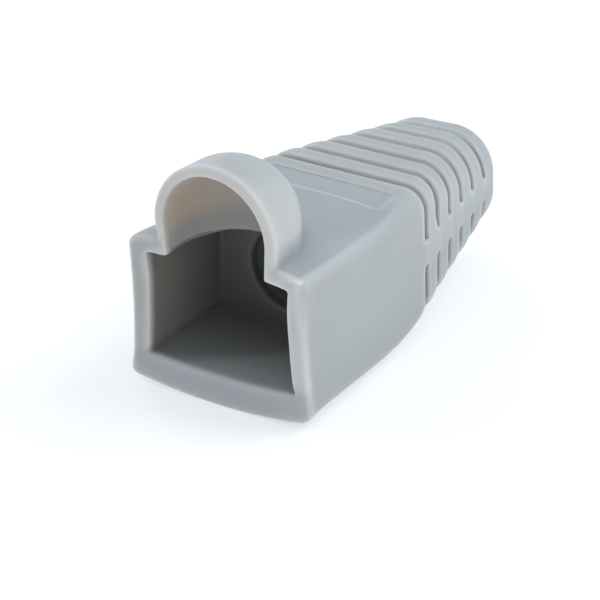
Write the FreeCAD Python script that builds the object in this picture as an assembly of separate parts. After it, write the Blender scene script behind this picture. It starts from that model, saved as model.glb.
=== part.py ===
import FreeCAD, Part
import os
import math

os.makedirs("parts", exist_ok=True)

V = FreeCAD.Vector

# ---------------------------------------------------------------------------
# Strain relief boot for an eight-way modular plug: one soft moulding.
# Millimetres. +Y runs from the plug mouth to the cable end, +X is to the
# right, +Z is up (the latch side). Lengths along Y are counted from the mouth
# face; the finished boot is then moved so that the origin lies under its
# middle, on the surface that it stands on.
# ---------------------------------------------------------------------------

# overall
length = 30.0             # mouth face to cable end
axis_z = 6.55             # height of the cable axis and of the tail's side bridges

# box that closes round the rear of the plug
box_half_w = 6.95         # half width at the waist
mouth_flare = [           # (height, extra half width) of the side walls at the mouth
    (1.30, 0.40), (3.40, 0.27), (5.20, 0.13), (7.20, 0.02), (9.30, -0.02), (11.0, 0.01)]
crown_top = 12.08         # top of the box at the mouth, on the centre line
crown_drop_top = 0.66     # how far the top falls from the centre line to the corner
crown_drop_bottom = 0.62  # how far the underside rises from the centre line to the corner

# outer sections: y, half width, top, bottom, top corner, bottom corner,
# share of the mouth's flare, share of the top crown, share of the bottom crown
sections = [
    ( 0.00, 6.98, 12.08, 0.00, 0.62, 0.45, 1.00, 1.00, 1.00),
    ( 1.20, 6.98, 12.06, 0.00, 0.66, 0.70, 0.94, 0.98, 0.96),
    ( 3.00, 6.98, 12.02, 0.00, 0.66, 0.84, 0.80, 0.94, 0.92),
    ( 6.00, 6.97, 11.93, 0.01, 0.66, 0.88, 0.54, 0.86, 0.82),
    ( 9.00, 6.96, 11.83, 0.04, 0.74, 0.94, 0.30, 0.74, 0.68),
    (11.20, 6.96, 11.75, 0.12, 0.96, 1.06, 0.14, 0.44, 0.51),
    (13.20, 6.97, 11.70, 0.38, 1.26, 1.30, 0.04, 0.12, 0.28),
    (14.90, 6.98, 11.68, 0.86, 1.54, 1.48, 0.00, 0.00, 0.09),
    (16.07, 6.95, 11.65, 1.24, 1.72, 1.68, 0.00, 0.00, 0.02),
    (18.38, 6.55, 11.50, 1.53, 2.05, 1.94, 0.00, 0.00, 0.00),
    (20.68, 6.12, 11.33, 1.70, 2.42, 2.22, 0.00, 0.00, 0.00),
    (22.99, 5.71, 11.14, 1.85, 2.84, 2.51, 0.00, 0.00, 0.00),
    (25.29, 5.32, 10.93, 2.00, 3.14, 2.80, 0.00, 0.00, 0.00),
    (27.60, 4.96, 10.62, 2.20, 3.36, 3.14, 0.00, 0.00, 0.00),
    (30.00, 4.59, 10.24, 2.50, 3.28, 3.40, 0.00, 0.00, 0.00),
]
end_round = 0.90          # rounding of the cable end's outer edge

# cavity for the plug
cavity_depth = 8.60
cavity_top_mid = 11.00
cavity_top_step = (4.02, 10.81)    # where the hood's opening meets the ceiling
cavity_top_corner = (5.86, 10.46)
cavity_side = [(8.10, 5.735), (6.70, 5.79), (5.75, 5.835), (4.20, 5.93)]  # (height, half width)
cavity_low_corner = (6.08, 2.58)
cavity_floor_mid = 2.31
cavity_draft = 0.985      # scale of the cavity's blind end

# hood over the plug's latch
hood_axis_z = 13.22
hood_r_mouth = 4.98
hood_r = 4.80
hood_foot_r = 4.62        # half width where the hood's legs meet the box
hood_mid_y = 2.12         # where the hood's barrel turns into its dome
hood_in_r_mouth = 4.24
hood_in_r = 4.14
hood_in_foot = 4.02       # half width of the opening at the foot of its legs
hood_in_mid_y = 1.95
hood_in_depth = 3.76      # from there to the back of the hollow

# cable hole
lead_r, lead_z = 3.33, 6.83        # mouth of the lead-in, in the cavity's back wall
lead_end_y = 12.5
bore_r = 3.0              # for a cable of 6 mm at most

# grooves of the flexible tail
groove_first_y = 16.27
groove_pitch = 2.275
groove_count = 6
groove_w = 0.58
groove_deep = 0.50
bridge_half = 0.95        # half height of the solid side bridge between upper and lower grooves
groove_lip = 0.12         # rounding of the grooves' lips

# shallow pocket on the top, behind the hood
pocket_half_w = 5.03
pocket_y0, pocket_y1 = 12.12, 14.40
pocket_deep = 0.24



def spline(points):
    c = Part.BSplineCurve()
    c.interpolate(points)
    return c.toShape()


def flare(z):
    pts = mouth_flare
    if z <= pts[0][0]:
        return pts[0][1]
    for (z0, f0), (z1, f1) in zip(pts, pts[1:]):
        if z <= z1:
            t = (z - z0) / (z1 - z0)
            return f0 + (f1 - f0) * t
    return pts[-1][1]


def corner(cx, cz, r, a0, a1, y, n=5):
    out = []
    for i in range(n):
        a = math.radians(a0 + (a1 - a0) * i / (n - 1))
        out.append(V(cx + r * math.cos(a), y, cz + r * math.sin(a)))
    return out


def outer_wire(y, w, top, bottom, rt, rb, fl, ct, cb, inset=0.0):
    """A closed outer section at y, drawn in toward the cable axis by inset."""
    w -= inset
    top -= inset
    bottom += inset
    rt = max(rt - inset, 0.3)
    rb = max(rb - inset, 0.3)
    drop = crown_drop_top * ct
    rise = crown_drop_bottom * cb
    zt = top - drop            # height of the section's top at its corners
    zb = bottom + rise
    wt = w + fl * flare(zt - rt)
    wb = w + fl * flare(zb + rb)
    # right side, from the bottom corner up
    zs = [zb + rb + (zt - rt - zb - rb) * k / 6.0 for k in range(7)]
    right = [V(w + fl * flare(z), y, z) for z in zs]
    tr = corner(wt - rt, zt - rt, rt, 0, 90, y)
    xt = wt - rt
    topline = []
    for k in range(7):
        x = xt - 2 * xt * k / 6.0
        topline.append(V(x, y, top - drop * (abs(x) / xt) ** 2.2))
    tl = [V(-p.x, p.y, p.z) for p in reversed(tr)]
    left = [V(-p.x, p.y, p.z) for p in reversed(right)]
    br = corner(wb - rb, zb + rb, rb, -90, 0, y)
    xb = wb - rb
    low = []
    for k in range(7):
        x = -xb + 2 * xb * k / 6.0
        low.append(V(x, y, bottom + rise * (x / xb) ** 2))
    bl = [V(-p.x, p.y, p.z) for p in reversed(br)]
    return Part.Wire([spline(p) for p in (right, tr, topline, tl, left, bl, low, br)])


def section_at(y):
    """The outer section's numbers at any y, between the listed ones."""
    for a, b in zip(sections, sections[1:]):
        if a[0] <= y <= b[0]:
            t = (y - a[0]) / (b[0] - a[0])
            return tuple(p + (q - p) * t for p, q in zip(a, b))
    return sections[-1]


# --- outer body ------------------------------------------------------------
cap_y = length - end_round
body_sections = [s for s in sections if s[0] < cap_y] + [section_at(cap_y)]
box_loft = Part.makeLoft([outer_wire(*s) for s in body_sections], True, False)

# the cable end's outer edge is rounded: a short cap whose sections follow a quarter circle
cap_wires = []
for k in range(6):
    a = math.radians(90.0 * k / 5.0)
    y = cap_y + end_round * math.sin(a)
    cap_wires.append(outer_wire(*((y,) + section_at(y)[1:]), inset=end_round * (1 - math.cos(a))))
end_cap = Part.makeLoft(cap_wires, True, False)

# --- hood, outside ---------------------------------------------------------
def arch_wire(y, r, foot, z0):
    """A D-shape: a half circle on the hood's axis, on legs that lean in to the foot."""
    a = Part.Arc(V(r, y, hood_axis_z), V(0, y, hood_axis_z + r), V(-r, y, hood_axis_z)).toShape()
    return Part.Wire([
        a,
        Part.LineSegment(V(-r, y, hood_axis_z), V(-foot, y, z0)).toShape(),
        Part.LineSegment(V(-foot, y, z0), V(foot, y, z0)).toShape(),
        Part.LineSegment(V(foot, y, z0), V(r, y, hood_axis_z)).toShape()])


def dome(r, foot, z0, y):
    """A round post with a ball top, turned about the vertical."""
    prof = Part.Wire([
        Part.LineSegment(V(0, 0, z0), V(foot, 0, z0)).toShape(),
        Part.LineSegment(V(foot, 0, z0), V(r, 0, hood_axis_z)).toShape(),
        Part.Arc(V(r, 0, hood_axis_z),
                 V(r * math.cos(math.pi / 4), 0, hood_axis_z + r * math.sin(math.pi / 4)),
                 V(0, 0, hood_axis_z + r)).toShape(),
        Part.LineSegment(V(0, 0, hood_axis_z + r), V(0, 0, z0)).toShape()])
    s = Part.Face(prof).revolve(V(0, 0, 0), V(0, 0, 1), 360)
    s.translate(V(0, y, 0))
    return s


foot_z = 10.60
hood_front = Part.makeLoft([arch_wire(0, hood_r_mouth, hood_foot_r + 0.12, foot_z),
                            arch_wire(hood_mid_y, hood_r, hood_foot_r, foot_z)], True, False)
hood_back = dome(hood_r, hood_foot_r, foot_z, hood_mid_y)
front_half = Part.makeBox(30, 30, 40, V(-15, 0, -5))
hood = hood_front.fuse(hood_back.common(front_half))

body = box_loft.fuse(end_cap).fuse(hood)


def edges_where(shape, test):
    return [e for e in shape.Edges if test(e)]

# --- cavity ----------------------------------------------------------------
def cavity_wire(y, k):
    mid = 6.5
    def p(x, z):
        return V(x * k, y, mid + (z - mid) * k)
    right = [p(*cavity_low_corner)] + [p(x, z) for z, x in reversed(cavity_side)] + [p(*cavity_top_corner)]
    top = [p(*cavity_top_corner), p(*cavity_top_step), p(0, cavity_top_mid),
           p(-cavity_top_step[0], cavity_top_step[1]), p(-cavity_top_corner[0], cavity_top_corner[1])]
    left = [V(-q.x, q.y, q.z) for q in reversed(right)]
    xl, zl = cavity_low_corner
    low = [p(-xl + 2 * xl * i / 6.0,
             cavity_floor_mid + (zl - cavity_floor_mid) * ((-xl + 2 * xl * i / 6.0) / xl) ** 2) for i in range(7)]
    return Part.Wire([spline(right), spline(top), spline(left), spline(low)])


cavity = Part.makeLoft([cavity_wire(-0.5, 1.0), cavity_wire(cavity_depth, cavity_draft)], True, True)

# --- hollow of the hood ----------------------------------------------------
in_front = Part.makeLoft([arch_wire(-0.5, hood_in_r_mouth, hood_in_foot, 9.4),
                          arch_wire(hood_in_mid_y, hood_in_r, hood_in_foot, 9.4)], True, False)
ball = dome(hood_in_r, hood_in_foot, 9.4, 0)
m = FreeCAD.Matrix()
m.scale(V(1, hood_in_depth / hood_in_r, 1))
ball = ball.transformGeometry(m)
ball.translate(V(0, hood_in_mid_y, 0))
hood_void = in_front.fuse(ball.common(Part.makeBox(30, 30, 40, V(-15, 0, -5))))
below = Part.makeBox(30, 30, 10.0, V(-15, -5, 0))    # the hollow stops inside the cavity
hood_void = hood_void.cut(below)

# --- cable hole ------------------------------------------------------------
lead = Part.makeLoft([
    Part.Wire(Part.Circle(V(0, cavity_depth - 0.6, lead_z + 0.04), V(0, 1, 0), lead_r + 0.05).toShape()),
    Part.Wire(Part.Circle(V(0, lead_end_y, axis_z), V(0, 1, 0), bore_r).toShape())], True, True)
bore = Part.makeCylinder(bore_r, length + 2 - lead_end_y + 0.3, V(0, lead_end_y - 0.3, axis_z), V(0, 1, 0))

bell = Part.makeCone(bore_r - 0.2, bore_r + 0.3, 0.5, V(0, length - 0.3, axis_z), V(0, 1, 0))
hollow = cavity.fuse(hood_void).fuse(lead).fuse(bore).fuse(bell)
body = body.cut(hollow)

# --- pocket ----------------------------------------------------------------
pocket_floor = section_at(0.5 * (pocket_y0 + pocket_y1))[2] - pocket_deep
pocket = Part.makeBox(2 * pocket_half_w, pocket_y1 - pocket_y0, 3, V(-pocket_half_w, pocket_y0, pocket_floor))
pocket = pocket.makeFillet(0.25, edges_where(
    pocket, lambda e: e.BoundBox.ZLength > 2.9))
body = body.cut(pocket)

# --- grooves ---------------------------------------------------------------
def groove_tool(y):
    s = section_at(y)
    core = Part.Face(outer_wire(*s, inset=groove_deep)).extrude(V(0, groove_w + 0.4, 0))
    core.translate(V(0, -(groove_w + 0.4) / 2.0, 0))
    up0 = axis_z + bridge_half
    lo0 = axis_z - bridge_half
    h = groove_w / 2.0
    out = []
    for z0, z1, ze in ((up0 + h, 14.0, up0 + h), (0.2, lo0 - h, lo0 - h)):
        slab = Part.makeBox(20, groove_w, z1 - z0, V(-10, y - h, z0))
        roll = Part.makeCylinder(h, 20, V(-10, y, ze), V(1, 0, 0))
        out.append(slab.fuse(roll).removeSplitter().cut(core))
    return out


for i in range(groove_count):
    y = groove_first_y + groove_pitch * i
    for tool in groove_tool(y):
        body = body.cut(tool)

solids = body.Solids
print("solids", len(solids), "volume", round(body.Volume, 2), "valid", body.isValid())
boot = max(solids, key=lambda s: s.Volume)

# --- rounded lips ----------------------------------------------------------
def lip_edges(shape, y, upper):
    """The outer edges of one groove: on its two walls, at the skin of the tail."""
    h = groove_w / 2.0
    s = section_at(y)
    got = []
    for e in shape.Edges:
        b = e.BoundBox
        if b.YMin < y - h - 0.02 or b.YMax > y + h + 0.02:
            continue
        if upper != (0.5 * (b.ZMin + b.ZMax) > axis_z):
            continue
        p = e.valueAt(0.5 * (e.FirstParameter + e.LastParameter))
        reach = max(abs(p.x) / s[1], abs(p.z - axis_z) / (s[2] - axis_z))
        r = math.hypot(p.x, p.z - axis_z)
        inner = outer_wire(*s, inset=groove_deep * 0.5)
        # outside the half-depth section means it lies on the skin
        face = Part.Face(inner)
        if not face.isInside(V(p.x, s[0], p.z), 1e-4, True):
            got.append(e)
    return got


def rounded(shape, edges, r):
    """The shape with those edges rounded, or None where the rounding isn't sound."""
    if not edges:
        return None
    try:
        trial = shape.makeFillet(r, edges)
    except Exception:
        return None
    if trial.isValid() and len(trial.Solids) == 1 and 0.97 < trial.Volume / shape.Volume < 1.03:
        return trial.Solids[0]
    return None


# the first groove keeps crisp lips; the others are eased, all together if that is sound
groove_ys = [groove_first_y + groove_pitch * i for i in range(groove_count)]
eased = [(i, up) for i in range(1, groove_count) for up in (True, False)]
got = rounded(boot, [e for i, up in eased for e in lip_edges(boot, groove_ys[i], up)], groove_lip)
if got is not None:
    boot = got
    eased = []
for i, up in eased:
    got = rounded(boot, lip_edges(boot, groove_ys[i], up), groove_lip)
    if got is not None:
        boot = got
    print("groove", i + 1, "upper" if up else "lower", "eased" if got is not None else "crisp")

# stand it with its lowest point on Z = 0
low = boot.optimalBoundingBox(False, False).ZMin
boot.translate(V(0, -length / 2.0, -low))
print("raised by", round(-low, 4))
bb = boot.optimalBoundingBox(False, False)
print("box", [round(v, 3) for v in (bb.XMin, bb.XMax, bb.YMin, bb.YMax, bb.ZMin, bb.ZMax)], "volume", round(boot.Volume, 2), "faces", len(boot.Faces), "valid", boot.isValid())
boot.exportStep("parts/boot.step")
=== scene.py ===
import math

import bpy
import numpy as np
from mathutils import Matrix, Vector


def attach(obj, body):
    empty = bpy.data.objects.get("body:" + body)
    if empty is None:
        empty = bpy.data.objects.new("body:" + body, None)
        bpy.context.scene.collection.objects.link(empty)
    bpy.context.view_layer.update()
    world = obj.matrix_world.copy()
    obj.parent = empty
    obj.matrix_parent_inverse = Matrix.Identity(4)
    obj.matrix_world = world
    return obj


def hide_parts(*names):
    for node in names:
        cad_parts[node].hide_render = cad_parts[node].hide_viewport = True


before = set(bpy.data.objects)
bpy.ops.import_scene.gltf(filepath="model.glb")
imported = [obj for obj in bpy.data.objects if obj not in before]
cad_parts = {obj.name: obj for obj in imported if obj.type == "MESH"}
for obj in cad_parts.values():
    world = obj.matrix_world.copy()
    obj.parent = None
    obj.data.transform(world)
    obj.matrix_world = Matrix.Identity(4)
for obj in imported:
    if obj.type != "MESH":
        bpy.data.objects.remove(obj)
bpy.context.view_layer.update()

MM = 0.001
LENGTH = 30.0
AXIS_Z = 6.55

# ---------------------------------------------------------------------------
# The boot as a field of signed distances, in millimetres: negative inside the
# plastic. x to the right, y from the mouth face to the cable end, z up. It has
# the construction's own dimensions, with the moulded radii on every edge.
# ---------------------------------------------------------------------------
SECTIONS = np.array([
    # y, half width, top, bottom, top corner, bottom corner, flare, top crown, bottom crown
    (0.00, 6.98, 12.08, 0.00, 0.62, 0.45, 1.00, 1.00, 1.00),
    (1.20, 6.98, 12.06, 0.00, 0.66, 0.70, 0.94, 0.95, 0.96),
    (3.00, 6.98, 12.02, 0.00, 0.72, 0.84, 0.80, 0.86, 0.92),
    (6.00, 6.97, 11.93, 0.01, 0.84, 0.88, 0.54, 0.62, 0.82),
    (9.00, 6.96, 11.83, 0.04, 0.98, 0.94, 0.30, 0.34, 0.68),
    (11.20, 6.96, 11.75, 0.12, 1.12, 1.06, 0.14, 0.14, 0.51),
    (13.20, 6.97, 11.70, 0.38, 1.34, 1.30, 0.04, 0.04, 0.28),
    (14.90, 6.98, 11.68, 0.86, 1.54, 1.48, 0.00, 0.00, 0.09),
    (16.07, 6.95, 11.65, 1.24, 1.72, 1.68, 0.00, 0.00, 0.02),
    (18.38, 6.55, 11.50, 1.53, 2.05, 1.94, 0.00, 0.00, 0.00),
    (20.68, 6.12, 11.33, 1.70, 2.42, 2.22, 0.00, 0.00, 0.00),
    (22.99, 5.71, 11.14, 1.85, 2.84, 2.51, 0.00, 0.00, 0.00),
    (25.29, 5.32, 10.93, 2.00, 3.14, 2.80, 0.00, 0.00, 0.00),
    (27.60, 4.96, 10.62, 2.20, 3.36, 3.14, 0.00, 0.00, 0.00),
    (30.00, 4.59, 10.24, 2.50, 3.28, 3.40, 0.00, 0.00, 0.00),
])
FLARE = np.array([(1.30, 0.40), (3.40, 0.27), (5.20, 0.13), (7.20, 0.02), (9.30, -0.02), (11.0, 0.01)])
CROWN_TOP, CROWN_BOTTOM = 0.66, 0.52
END_ROUND = 0.90
RIB_CROWN = 0.20
LEFT_LOW, LEFT_HIGH = 0.29, 0.50   # the mouth's left wall stands out by this much more, low and high

HOOD_Z = 13.22
GROOVE_Y0, GROOVE_PITCH, GROOVES = 16.27, 2.275, 6
GROOVE_W, BRIDGE = 0.56, 0.97
TOP_DEEP = np.array([0.38, 0.32, 0.30, 0.25, 0.19, 0.09])    # groove depths over the top,
SIDE_DEEP = np.array([0.52, 0.56, 0.54, 0.52, 0.46, 0.40])   # down the sides,
LOW_DEEP = np.array([0.54, 0.56, 0.52, 0.44, 0.32, 0.18])    # and below the bridges


class Curve:
    """A natural cubic through the knots, held level or straight beyond its ends."""

    def __init__(self, t, v):
        t, v = np.asarray(t, float), np.asarray(v, float)
        n = len(t)
        h = np.diff(t)
        a = np.zeros((n, n))
        b = np.zeros(n)
        a[0, 0] = a[-1, -1] = 1.0
        for i in range(1, n - 1):
            a[i, i - 1], a[i, i], a[i, i + 1] = h[i - 1], 2 * (h[i - 1] + h[i]), h[i]
            b[i] = 6 * ((v[i + 1] - v[i]) / h[i] - (v[i] - v[i - 1]) / h[i - 1])
        self.t, self.v, self.h, self.m = t, v, h, np.linalg.solve(a, b)

    def __call__(self, x):
        x = np.clip(x, self.t[0], self.t[-1])
        i = np.clip(np.searchsorted(self.t, x) - 1, 0, len(self.t) - 2)
        h = self.h[i]
        u = (self.t[i + 1] - x) / h
        w = (x - self.t[i]) / h
        return (u * self.v[i] + w * self.v[i + 1]
                + ((u ** 3 - u) * self.m[i] + (w ** 3 - w) * self.m[i + 1]) * h * h / 6.0).astype(np.float32)


COLUMNS = [Curve(SECTIONS[:, 0], SECTIONS[:, k]) for k in range(1, 9)]
FLARE_AT = Curve(FLARE[:, 0], FLARE[:, 1])
CAVITY_SIDE = Curve([2.58, 4.20, 5.75, 6.70, 8.10, 9.35, 10.46], [6.08, 5.93, 5.835, 5.79, 5.735, 5.76, 5.86])
CAVITY_TOP = Curve([0.0, 2.0, 4.02, 5.0, 5.86], [11.00, 10.955, 10.81, 10.66, 10.46])


def rmax(a, b, r):
    """The larger of two fields, with the edge between them rounded to radius r."""
    return np.minimum(np.maximum(a, b), -r) + np.hypot(np.maximum(a + r, 0), np.maximum(b + r, 0))


def rmin(a, b, r):
    return -rmax(-a, -b, r)


def ramp(x, lo, hi):
    t = np.clip((x - lo) / (hi - lo), 0, 1)
    return t * t * (3 - 2 * t)


LID_CROWN = Curve([0.0, 1.2, 3.0, 6.0, 9.0, 11.2, 13.2, 14.9, 16.1, 30.0], [0.0, 0.05, 0.26, 0.44, 0.68, 0.72, 0.34, 0.08, 0.0, 0.0])


def lid_crown(x, y):
    """How much more the top is crowned along the box, as a share of the crown at the mouth."""
    return np.maximum(LID_CROWN(y), 0) * np.where(x > 0, 1, 1 - ramp(y, 7.0, 11.0))


def outer_body(x, y, z):
    w, top, bottom, rt, rb, fl, ct, cb = (c(np.clip(y, 0, LENGTH)) for c in COLUMNS)
    rt = rt * (1 - 0.36 * (x > 0) * ramp(y, -3.0, 7.0) * (1 - ramp(y, 10.5, 16.0)))   # its top right edge is the crisper one
    rt, rb = np.maximum(rt, 0.3), np.maximum(rb + 0.30 * fl * (x > 0), 0.3)
    top = top + 0.035 * x * ramp(y, 19.0, 29.0)      # the soft end sits a touch askew
    ax = np.abs(x)
    side = ax - (w + fl * FLARE_AT(z)) - fl * np.where(x < 0, LEFT_LOW + (LEFT_HIGH - LEFT_LOW) * ramp(z, 3.0, 11.0), 0)
    xt, xb = w + fl * FLARE_AT(top - rt) - rt, w + fl * FLARE_AT(bottom + rb) - rb
    drop, rise = CROWN_TOP * ct * np.where(x < 0, 0.80, 1), CROWN_BOTTOM * cb
    more = CROWN_TOP * lid_crown(x, y)
    qt, qb = np.minimum(ax / xt, 1.15), np.minimum(ax / xb, 1.25)
    over = (z - (top - drop * qt ** 2.2 - more * qt ** 3.4)) / np.sqrt(1 + ((2.2 * drop * qt ** 1.2 + 3.4 * more * qt ** 2.4) / xt) ** 2)
    under = ((bottom + rise * qb ** 2) - z) / np.sqrt(1 + (2 * rise * qb / xb) ** 2)
    return np.maximum(rmax(side, over, rt), rmax(side, under, rb))


def arch(x, y, z, r_front, r, foot_front, foot, mid, depth, z_foot):
    """A half-round barrel on leaning legs, closed behind by a dome. Its front runs on."""
    t = np.clip(1 - y / mid, 0, 1)
    rr = r + (r_front - r) * t
    ff = foot + (foot_front - foot) * t
    behind = np.maximum(y - mid, 0) * (r / depth)
    rho = np.hypot(x, behind)
    high = np.maximum(z - HOOD_Z, 0)
    leg = np.clip((HOOD_Z - z) / (HOOD_Z - z_foot), 0, 1.6)
    return np.hypot(rho, high) - (rr - (rr - ff) * leg)


def slots(x, y, z):
    """The six grooves seen from the side: upper and lower legs with squared ends."""
    k = np.clip(np.round((y - GROOVE_Y0) / GROOVE_PITCH), 0, GROOVES - 1)
    off = y - (GROOVE_Y0 + GROOVE_PITCH * k)
    # a slip in the mould: the second groove's right leg is wide at the shoulder and pinched at its end
    flaw = (k == 1) * (x > 0)
    wide = ramp(z, 7.9, 9.0) * (1 - ramp(z, 10.0, 11.0))
    pinch = 1 - ramp(z, 7.5, 8.6)
    side = np.where(flaw > 0, 0.42 * wide - 0.20 * pinch, 0) * (z > AXIS_Z)
    half = GROOVE_W / 2 - 0.01 * (1 - ramp(z, 8.4, 10.4))
    front = -off - (half + side)
    rear = off - half
    middle = AXIS_Z + 0.07 - 0.05 * k
    return rmax(np.maximum(front, rear), BRIDGE - np.abs(z - middle), 0.12), off, k, side


def groove_depth(x, z, k):
    k = k.astype(int)
    high = ramp(z, 8.4, 10.9)
    return np.where(z > AXIS_Z, SIDE_DEEP[k] + (TOP_DEEP[k] - SIDE_DEEP[k]) * high, LOW_DEEP[k])


def hollow(x, y, z):
    ax = np.abs(x)
    k = 1 - 0.015 * np.clip(y, 0, 8.6) / 8.6
    xs, zs = ax / k, 6.5 + (z - 6.5) / k
    side = xs - CAVITY_SIDE(zs)
    # the ceiling's tips at the hood's feet hang a little, most on the left
    over = zs - CAVITY_TOP(xs) + np.where(x < 0, 0.17, 0.08) * ramp(ax, 2.2, 3.8) * (1 - ramp(ax, 4.4, 5.7))
    under = (2.31 + 0.27 * np.minimum(xs / 6.08, 1.2) ** 2) - zs
    box = rmax(rmax(side, over, 0.16), under, 0.22)
    box = rmax(box, y - 8.60, 0.38)
    hood = arch(x + 0.07, y, z, 4.17, 4.09, 3.95, 3.97, 1.95, 3.76, 9.4)
    hood = np.maximum(hood, 9.9 - z)
    room = rmin(box, hood, 0.16)
    t = np.clip((y - 8.0) / 4.5, 0, 1)
    lead = np.hypot(x - 0.12 * (1 - t), z - (6.84 - 0.29 * t)) - (3.27 - 0.27 * t) - 0.35 * np.clip(y - (LENGTH - 0.45), 0, 1) ** 2 / 0.45
    lead = np.maximum(lead, 7.4 - y)
    return rmin(room, lead, 0.28)


def field(x, y, z):
    body = outer_body(x, y, z)
    slot, off, k, extra = slots(x, y, z)
    # the bands between the grooves are crowned, most of all near their edges
    reach = ramp(y, GROOVE_Y0 - 1.3, GROOVE_Y0 - 0.1)
    near = np.clip(1 - np.abs(off) / (GROOVE_PITCH * 0.5), 0, 1)
    body = body + RIB_CROWN * near ** 2 * reach * ramp(np.abs(z - AXIS_Z), 0.6, 1.6)
    # cable end
    shell = rmax(body, y - LENGTH, END_ROUND)
    # hood
    hood = arch(x + 0.03, y, z, 5.00, 4.82, 4.77, 4.64, 2.12, 4.80, 10.60)
    hood = np.maximum(hood, 9.9 - z)
    shell = rmin(shell, hood, 0.18)
    # mouth face
    # the right wall's outer edge is crisp below and turns into a bevel higher up
    wall = ramp(x, 5.0, 6.0) * (1 - ramp(z, 10.9, 11.7))
    bevel = 0.05 + 0.45 * np.clip((z - 2.4) / 8.0, 0, 1) ** 1.2
    shell = rmax(shell, 0.814 * (shell + bevel * wall) - 0.581 * y - 0.4 * (1 - wall), 0.15)
    shell = rmax(shell, -y, (0.15 + 0.37 * ramp(z, 0.8, 2.6) - 0.24 * ramp(z, 11.6, 12.8)) * (1 - wall) + 0.13 * wall)
    # grooves
    high = ramp(z, 8.6, 10.6)
    groove = rmax(slot, -(body + groove_depth(x, z, k) + 1.3 * np.maximum(extra, 0)), 0.14 + 0.08 * high)
    shell = rmax(shell, -groove, 0.17 + 0.09 * high)
    # pocket behind the hood: a shallow floor between sloping ends
    floor_z = 11.70 - 0.27 + 0.062 * (y - 12.12) - 0.9 * CROWN_TOP * lid_crown(x, y) * np.minimum(np.abs(x) / 6.2, 1.1) ** 3.4
    px = np.where(x < 0, (-x - 4.72 - 1.3 * np.clip(z - floor_z, 0, 1)) * 0.61,
                  (x - 5.10 - 1.9 * np.clip(z - floor_z, 0, 1)) * 0.465)
    py = np.abs(y - 13.26) - 1.14
    pocket = rmax(rmax(px, py, 0.12), floor_z - z, 0.09)
    shell = rmax(shell, -pocket, 0.11)
    # hollow: a wider lip along the mouth's floor
    lip = 0.11 + 0.22 * (1 - ramp(z, 2.5, 3.6)) * (1 - ramp(y, 0.6, 1.2))
    return rmax(shell, -hollow(x, y, z), lip)


def steps(knots):
    """Grid lines from (start, spacing) pairs."""
    out = []
    for (a, d), (b, _) in zip(knots, knots[1:]):
        n = max(1, int(round((b - a) / d)))
        out.extend(a + (b - a) * np.arange(n) / n)
    out.append(knots[-1][0])
    return np.array(out, np.float32)


def nets(xs, ys, zs):
    """Surface nets over a grid of the field: vertices and quads."""
    nx, ny, nz = len(xs), len(ys), len(zs)
    f = np.empty((nx, ny, nz), np.float32)
    X, Z = xs[:, None, None], zs[None, None, :]
    for j in range(0, ny, 24):
        f[:, j:j + 24, :] = field(X, ys[None, j:j + 24, None], Z)
    inside = f < 0
    count = np.zeros((nx - 1, ny - 1, nz - 1), np.uint8)
    corner = [(i, j, k) for i in (0, 1) for j in (0, 1) for k in (0, 1)]
    for i, j, k in corner:
        count += inside[i:nx - 1 + i, j:ny - 1 + j, k:nz - 1 + k]
    cells = np.argwhere((count > 0) & (count < 8))
    del count
    index = np.full((nx - 1, ny - 1, nz - 1), -1, np.int32)
    index[cells[:, 0], cells[:, 1], cells[:, 2]] = np.arange(len(cells))
    val = {c: f[cells[:, 0] + c[0], cells[:, 1] + c[1], cells[:, 2] + c[2]] for c in corner}
    grid = (xs, ys, zs)
    total = np.zeros((len(cells), 3), np.float32)
    hits = np.zeros(len(cells), np.float32)
    for axis in range(3):
        for c in corner:
            if c[axis]:
                continue
            d = list(c)
            d[axis] = 1
            d = tuple(d)
            a, b = val[c], val[d]
            cut = (a < 0) != (b < 0)
            t = np.where(cut, a / np.where(cut, a - b, 1), 0)
            for m in range(3):
                lo = grid[m][cells[:, m] + c[m]]
                hi = grid[m][cells[:, m] + d[m]]
                total[:, m] += np.where(cut, lo + (hi - lo) * t, 0)
            hits += cut
    verts = total / hits[:, None]
    quads = []
    for axis in range(3):
        a = np.take(inside, range(0, f.shape[axis] - 1), axis=axis)
        b = np.take(inside, range(1, f.shape[axis]), axis=axis)
        e = np.argwhere(a != b)
        u, v = (axis + 1) % 3, (axis + 2) % 3
        ok = (e[:, u] > 0) & (e[:, v] > 0) & (e[:, u] < index.shape[u]) & (e[:, v] < index.shape[v])
        e = e[ok]
        out = a[e[:, 0], e[:, 1], e[:, 2]]

        def cell(du, dv):
            q = e.copy()
            q[:, u] -= du
            q[:, v] -= dv
            return index[q[:, 0], q[:, 1], q[:, 2]]

        q = np.stack([cell(1, 1), cell(0, 1), cell(0, 0), cell(1, 0)], 1)
        q[~out] = q[~out][:, ::-1]
        quads.append(q)
    quads = np.concatenate(quads)
    return verts, quads[(quads >= 0).all(1)]


def gradient(p, e=0.01):
    g = np.empty_like(p)
    for m in range(3):
        a, b = p.copy(), p.copy()
        a[:, m] += e
        b[:, m] -= e
        g[:, m] = (field(*a.T) - field(*b.T)) / (2 * e)
    return g


def settle(p, rounds=3):
    """Moves the points onto the surface along the field's slope."""
    for _ in range(rounds):
        g = gradient(p)
        s = field(*p.T)[:, None] / np.maximum((g * g).sum(1, keepdims=True), 0.2)
        p = p - np.clip(s, -0.12, 0.12) * g
    return p


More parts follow.
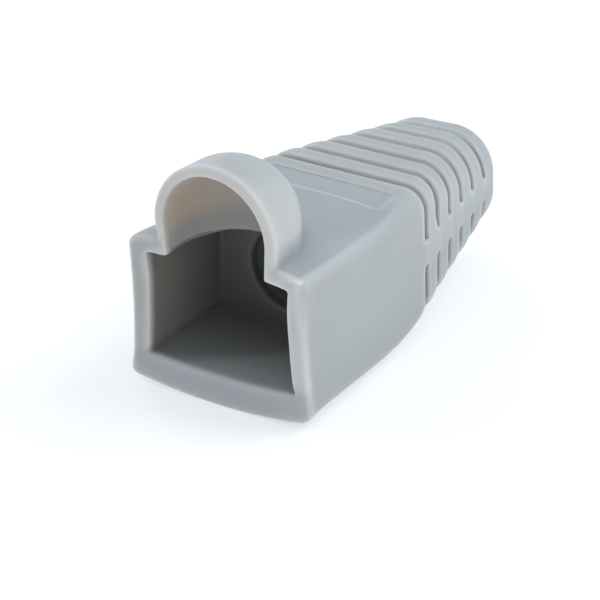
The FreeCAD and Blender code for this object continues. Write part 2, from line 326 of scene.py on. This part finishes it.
def mesh_from(name, verts, faces):
    me = bpy.data.meshes.new(name)
    n = faces.shape[1]
    me.vertices.add(len(verts))
    me.vertices.foreach_set("co", verts.astype(np.float32).ravel())
    me.loops.add(faces.size)
    me.loops.foreach_set("vertex_index", faces.astype(np.int32).ravel())
    me.polygons.add(len(faces))
    me.polygons.foreach_set("loop_start", np.arange(0, faces.size, n, dtype=np.int32))
    me.update(calc_edges=True)
    me.validate()
    return me


# --- the skin --------------------------------------------------------------
fine = 0.10
xs = steps([(-8.0, fine), (8.0, fine)])
ys = steps([(-0.3, 0.06), (0.6, fine), (11.9, 0.07), (14.7, fine), (15.5, 0.075), (30.3, 0.075)])
zs = steps([(-0.3, fine), (18.5, fine)])
v, q = nets(xs, ys, zs)
v = settle(v.astype(np.float64), 2)
raw = mesh_from("boot_raw", v, q)
print("surface", len(v), "points", len(q), "quads")

skin = bpy.data.objects.new("boot_skin", raw)
bpy.context.scene.collection.objects.link(skin)
tri_goal = 180000
mod = skin.modifiers.new("thin", "DECIMATE")
mod.ratio = min(1.0, tri_goal / (2.0 * len(q)))
dg = bpy.context.evaluated_depsgraph_get()
thin = bpy.data.meshes.new_from_object(skin.evaluated_get(dg))
skin.modifiers.clear()
co = np.empty(len(thin.vertices) * 3, np.float32)
thin.vertices.foreach_get("co", co)
p = settle(co.reshape(-1, 3).astype(np.float64), 2)

# how thin the plastic is just under each point, and how closed in it is just above: masks for painted light on thin and
# convex edges and painted shade in creases
g = gradient(p)
n = g / np.maximum(np.linalg.norm(g, axis=1, keepdims=True), 1e-6)
def under(h):
    return np.clip(1 + field(*(p - n * h).T) / h, 0, 1)
def above(h):
    return np.clip(1 - field(*(p + n * h).T) / h, 0, 1)
edge = np.clip(0.6 * under(0.25) + 0.6 * under(0.6), 0, 1)
crease_shade = np.clip(0.5 * above(0.3) + 0.5 * above(0.9), 0, 1)
def bend(h):
    return sum(field(*(p + d).T) for d in np.vstack([np.eye(3), -np.eye(3)]) * h) / 6 - field(*p.T)
convex_highlight = np.clip(0.6 * bend(0.22) / 0.045 + 0.48 * bend(0.6) / 0.09, 0, 1)
crease_shade *= 1 - 0.8 * ((p[:, 1] > 11.9) & (p[:, 1] < 14.6) & (p[:, 2] > 11.1) & (np.abs(p[:, 0]) < 6.0))
open_air = 1 - ramp(-hollow(*(p + n * 0.5).T), -0.2, 0.2) * ramp(p[:, 1], 0.3, 0.9)
edge, crease_shade, convex_highlight = edge * open_air, crease_shade * open_air, convex_highlight * open_air

thin.vertices.foreach_set("co", (p * MM - np.array([0, LENGTH / 2 * MM, 0])).astype(np.float32).ravel())
thin.update()
for name, data in (("edge", edge), ("crease_shade", crease_shade), ("convex_highlight", convex_highlight)):
    at = thin.attributes.new(name, "FLOAT", "POINT")
    at.data.foreach_set("value", data.astype(np.float32))
for poly in thin.polygons:
    poly.use_smooth = True
thin.normals_split_custom_set_from_vertices([tuple(t) for t in n])
skin.data = thin
thin.name = "boot_skin"
bpy.data.meshes.remove(raw)
print("skin", len(thin.vertices), "points", len(thin.polygons), "faces")

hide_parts("boot")
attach(skin, "root")


# --- material ---------------------------------------------------------------
def soft_pvc():
    mat = bpy.data.materials.new("soft_pvc")
    mat.use_nodes = True
    nt = mat.node_tree
    nt.nodes.clear()
    N, L = nt.nodes.new, nt.links.new
    out = N("ShaderNodeOutputMaterial")
    bsdf = N("ShaderNodeBsdfPrincipled")
    L(bsdf.outputs[0], out.inputs["Surface"])
    tex = N("ShaderNodeTexCoord")

    def noise(scale, detail, rough=0.55):
        t = N("ShaderNodeTexNoise")
        t.inputs["Scale"].default_value = scale
        t.inputs["Detail"].default_value = detail
        t.inputs["Roughness"].default_value = rough
        L(tex.outputs["Object"], t.inputs["Vector"])
        return t

    def attribute(name):
        a = N("ShaderNodeAttribute")
        a.attribute_name = name
        return a

    def mix(fac, a, b, blend="MIX"):
        m = N("ShaderNodeMix")
        m.data_type = "RGBA"
        m.blend_type = blend
        if isinstance(fac, float):
            m.inputs[0].default_value = fac
        else:
            L(fac, m.inputs[0])
        for k, val in ((6, a), (7, b)):
            if isinstance(val, tuple):
                m.inputs[k].default_value = val
            else:
                L(val, m.inputs[k])
        return m.outputs[2]

    def fit(value, lo, hi, to_lo, to_hi):
        m = N("ShaderNodeMapRange")
        m.inputs["From Min"].default_value = lo
        m.inputs["From Max"].default_value = hi
        m.inputs["To Min"].default_value = to_lo
        m.inputs["To Max"].default_value = to_hi
        L(value, m.inputs["Value"])
        return m.outputs[0]

    # colour: grey PVC, slightly uneven, with painted light along thin and convex edges and painted shade in creases
    cloud = noise(220.0, 3.0)
    speck = noise(2600.0, 4.0, 0.6)
    base = mix(fit(cloud.outputs["Fac"], 0.35, 0.65, 0.0, 1.0), (0.410, 0.414, 0.404, 1), (0.432, 0.436, 0.424, 1))
    base = mix(fit(speck.outputs["Fac"], 0.40, 0.62, 0.0, 0.22), base, (0.478, 0.474, 0.460, 1))
    # painted light along thin edges, painted highlight on convex edges, painted shade in creases
    base = mix(fit(attribute("edge").outputs["Fac"], 0.15, 0.9, 0.0, 0.45), base, (0.60, 0.60, 0.59, 1))
    base = mix(fit(attribute("convex_highlight").outputs["Fac"], 0.20, 0.9, 0.0, 0.36), base, (0.60, 0.602, 0.60, 1))
    base = mix(fit(attribute("crease_shade").outputs["Fac"], 0.20, 0.9, 0.0, 0.50), base, (0.375, 0.345, 0.300, 1))
    # places on the boot, in metres about its middle
    place = N("ShaderNodeSeparateXYZ")
    L(tex.outputs["Object"], place.inputs[0])
    X, Y, Z = place.outputs

    def op(kind, a, b=None):
        m = N("ShaderNodeMath")
        m.operation = kind
        for k, val in enumerate((a, b)):
            if isinstance(val, float):
                m.inputs[k].default_value = val
            elif val is not None:
                L(val, m.inputs[k])
        return m.outputs[0]

    def soft(value, lo, hi):
        m = N("ShaderNodeMapRange")
        m.interpolation_type = "SMOOTHSTEP"
        m.inputs["From Min"].default_value = lo * MM
        m.inputs["From Max"].default_value = hi * MM
        L(value, m.inputs["Value"])
        return m.outputs[0]

    across = op("ABSOLUTE", X)
    behind = op("ADD", Y, LENGTH / 2 * MM)
    over_axis = op("SUBTRACT", Z, HOOD_Z * MM)
    over_axis = op("MAXIMUM", over_axis, 0.0)
    dome = op("MAXIMUM", op("MULTIPLY", op("SUBTRACT", behind, 2.03 * MM), 1.04), 0.0)
    barrel = op("ADD", op("MULTIPLY", X, X), op("ADD", op("MULTIPLY", over_axis, over_axis), op("MULTIPLY", dome, dome)))
    barrel = op("SQRT", barrel)

    # painted shade: the walls inside the mouth and down the bore are painted darker
    ceiling = op("ADD", Z, op("MULTIPLY", op("MULTIPLY", X, X), 11.8))
    room = op("MULTIPLY", soft(across, 6.50, 6.35), op("MULTIPLY", soft(Z, 1.2, 1.35), soft(ceiling, 11.14, 11.04)))
    room = op("MULTIPLY", room, op("MULTIPLY", soft(behind, 0.12, 0.9), soft(behind, 9.6, 9.3)))
    below_axis = op("SUBTRACT", Z, AXIS_Z * MM)
    tunnel = op("SQRT", op("ADD", op("MULTIPLY", X, X), op("MULTIPLY", below_axis, below_axis)))
    tunnel = op("MULTIPLY", soft(tunnel, 3.56, 3.42), op("MULTIPLY", soft(behind, 8.4, 8.8), soft(behind, 29.0, 26.0)))
    # the painted shade is warmer on its left wall, and a painted pool of light leaves the floor's right front the least
    # dark
    warm = op("MULTIPLY", soft(X, -4.6, -5.4), soft(behind, 8.6, 8.0))
    cavity_shade_colour = mix(warm, (0.178, 0.176, 0.170, 1), (0.204, 0.176, 0.150, 1))
    front = op("SUBTRACT", behind, op("MULTIPLY", op("ADD", X, 4.0 * MM), 0.82))
    front = op("MULTIPLY", soft(front, 1.5, -1.1), soft(Z, 3.1, 2.7))
    base = mix(op("MULTIPLY", room, fit(front, 0.0, 1.0, 0.88, 0.34)), base, cavity_shade_colour)
    # painted shade down the cable bore
    base = mix(op("MULTIPLY", tunnel, 0.30), base, (0.215, 0.220, 0.235, 1))
    # painted light: a warm glow is painted on the hood's underside, where the thin hood lets light through
    vault = op("MULTIPLY", soft(barrel, 4.50, 4.38), soft(Z, 10.9, 13.2))
    vault = op("MULTIPLY", vault, op("MULTIPLY", soft(behind, 0.05, 0.9), soft(behind, 7.0, 4.5)))
    base = mix(op("MULTIPLY", vault, 0.66), base, (0.57, 0.492, 0.385, 1))
    # painted highlight: the mouth's thin rim is painted the palest
    rim_highlight = op("MULTIPLY", soft(behind, 0.75, 0.20), soft(Z, 2.6, 3.6))
    base = mix(op("MULTIPLY", op("MULTIPLY", rim_highlight, soft(X, -7.0, -2.0)), 0.44), base, (0.67, 0.672, 0.672, 1))
    # painted light and shade: the front's foot is painted cooler as under cool light, the hood and the ribs are a
    # little warmer, and the low sides are painted duller as painted shade
    foot = op("MULTIPLY", soft(behind, 0.6, 0.2), soft(Z, 3.2, 1.6))
    base = mix(op("MULTIPLY", foot, 0.72), base, (0.412, 0.442, 0.464, 1))
    warm_skin = op("MAXIMUM", op("MULTIPLY", soft(behind, 12.0, 17.0), soft(Z, 5.0, 9.5)), soft(Z, 11.4, 14.6))
    base = mix(op("MULTIPLY", warm_skin, 0.28), base, (0.500, 0.478, 0.452, 1))
    # painted highlight: the hood's right flank is painted paler
    hood_sheen = op("MULTIPLY", op("MULTIPLY", soft(X, 1.0, 4.4), soft(Z, 11.8, 13.6)), soft(behind, 6.5, 3.0))
    base = mix(op("MULTIPLY", hood_sheen, 0.40), base, (0.600, 0.588, 0.566, 1))
    # painted shade: darker towards the bottom of the sides and under the tail
    low_shade = op("MULTIPLY", op("MAXIMUM", soft(Z, 6.0, 1.0), op("MULTIPLY", soft(Z, 8.0, 4.0), soft(behind, 14.0, 18.0))), soft(behind, 0.3, 1.2))
    base = mix(op("MULTIPLY", low_shade, 0.46), base, (0.315, 0.330, 0.330, 1))
    # painted shade: the box's top and the pocket's floor are painted cooler and darker
    lid_shade = op("MULTIPLY", op("MULTIPLY", soft(Z, 10.8, 11.6), soft(Z, 13.4, 12.0)), soft(across, 6.9, 4.9))
    lid_shade = op("MULTIPLY", lid_shade, op("MULTIPLY", soft(behind, 0.4, 2.4), soft(behind, 16.0, 11.5)))
    base = mix(op("MULTIPLY", lid_shade, 0.36), base, (0.342, 0.358, 0.356, 1))
    pocket_shade = op("MULTIPLY", op("MULTIPLY", soft(behind, 12.1, 12.2), soft(behind, 14.45, 14.35)), op("MULTIPLY", soft(across, 5.5, 5.1), soft(Z, 11.2, 11.3)))
    base = mix(op("MULTIPLY", pocket_shade, 0.07), base, (0.325, 0.375, 0.400, 1))
    L(base, bsdf.inputs["Base Color"])

    # finish: fine eroded mould texture
    rough = N("ShaderNodeMath")
    rough.operation = "ADD"
    L(fit(cloud.outputs["Fac"], 0.3, 0.7, 0.43, 0.50), rough.inputs[0])
    L(fit(speck.outputs["Fac"], 0.3, 0.7, -0.03, 0.05), rough.inputs[1])
    L(rough.outputs[0], bsdf.inputs["Roughness"])
    grain = noise(5200.0, 3.0, 0.5)
    wave = noise(420.0, 2.0, 0.4)
    b1 = N("ShaderNodeBump")
    b1.inputs["Strength"].default_value = 0.25
    b1.inputs["Distance"].default_value = 0.00003
    L(wave.outputs["Fac"], b1.inputs["Height"])
    b2 = N("ShaderNodeBump")
    b2.inputs["Strength"].default_value = 0.18
    b2.inputs["Distance"].default_value = 0.000015
    L(grain.outputs["Fac"], b2.inputs["Height"])
    L(b1.outputs[0], b2.inputs["Normal"])
    L(b2.outputs[0], bsdf.inputs["Normal"])

    bsdf.inputs["IOR"].default_value = 1.50
    bsdf.inputs["Specular IOR Level"].default_value = 0.42
    bsdf.inputs["Subsurface Weight"].default_value = 1.0
    bsdf.inputs["Subsurface Radius"].default_value = (1.0, 0.80, 0.60)
    bsdf.inputs["Subsurface Scale"].default_value = 0.0015
    return mat


skin.data.materials.clear()
skin.data.materials.append(soft_pvc())


# --- floor, backdrop, light, camera -----------------------------------------
def plane(name, size, z, colour, rough=0.9):
    s = size / 2
    me = mesh_from(name, np.array([(-s, -s, z), (s, -s, z), (s, s, z), (-s, s, z)]), np.array([[0, 1, 2, 3]]))
    o = bpy.data.objects.new(name, me)
    bpy.context.scene.collection.objects.link(o)
    mat = bpy.data.materials.new(name)
    mat.use_nodes = True
    b = mat.node_tree.nodes["Principled BSDF"]
    b.inputs["Base Color"].default_value = colour
    b.inputs["Roughness"].default_value = rough
    b.inputs["Specular IOR Level"].default_value = 0.1
    me.materials.append(mat)
    return o


floor = plane("floor", 8.0, 0.0, (0.55, 0.55, 0.55, 1))
lit = floor.data.materials[0].node_tree.nodes["Principled BSDF"]
lit.inputs["Emission Color"].default_value = (1.0, 0.99, 0.98, 1)
lit.inputs["Emission Strength"].default_value = 0.52

world = bpy.data.worlds.new("studio")
bpy.context.scene.world = world
world.use_nodes = True
bg = world.node_tree.nodes["Background"]
bg.inputs[0].default_value = (0.90, 0.96, 1.04, 1)
bg.inputs[1].default_value = 0.20


def softbox(name, place, target, size, level, colour):
    """A soft light whose surface has the given brightness."""
    d = bpy.data.lights.new(name, "AREA")
    d.shape = "RECTANGLE"
    d.size, d.size_y = size
    d.energy = level * math.pi * size[0] * size[1]
    d.color = colour
    o = bpy.data.objects.new(name, d)
    bpy.context.scene.collection.objects.link(o)
    o.location = place
    o.rotation_mode = "QUATERNION"
    o.rotation_quaternion = (Vector(target) - Vector(place)).to_track_quat("-Z", "Y")
    return o


softbox("top", (-0.02, -0.06, 0.44), (0, 0, 0.005), (0.50, 0.50), 1.00, (0.88, 0.97, 1.04))
softbox("right", (0.28, 0.22, 0.37), (0, 0, 0.008), (0.40, 0.40), 3.45, (0.81, 0.95, 1.09))
softbox("left", (-0.40, 0.16, 0.26), (0, 0, 0.008), (0.35, 0.35), 2.0, (0.92, 0.97, 1.02))
softbox("front_left", (-0.42, -0.20, 0.17), (0, 0, 0.006), (0.26, 0.26), 2.3, (0.88, 0.97, 1.09))
softbox("front_right", (0.44, -0.24, 0.15), (0, 0, 0.006), (0.26, 0.26), 1.9, (0.88, 0.97, 1.09))

cam_data = bpy.data.cameras.new("camera")
cam_data.sensor_width = 36.0
cam_data.lens = 173.907
cam_data.clip_start, cam_data.clip_end = 0.01, 20.0
camera = bpy.data.objects.new("camera", cam_data)
bpy.context.scene.collection.objects.link(camera)
right = Vector((0.8332, 0.5522, -0.0288)).normalized()
back = Vector((0.5012, -0.7322, 0.4611)).normalized()
up = back.cross(right).normalized()
right = up.cross(back)
turn = Matrix((right, up, back)).transposed()
camera.matrix_world = Matrix.Translation(Vector((0.103435, -0.156065, 0.098972))) @ turn.to_4x4()
bpy.context.scene.camera = camera

bpy.context.scene.view_settings.view_transform = "Standard"
bpy.context.scene.view_settings.look = "None"
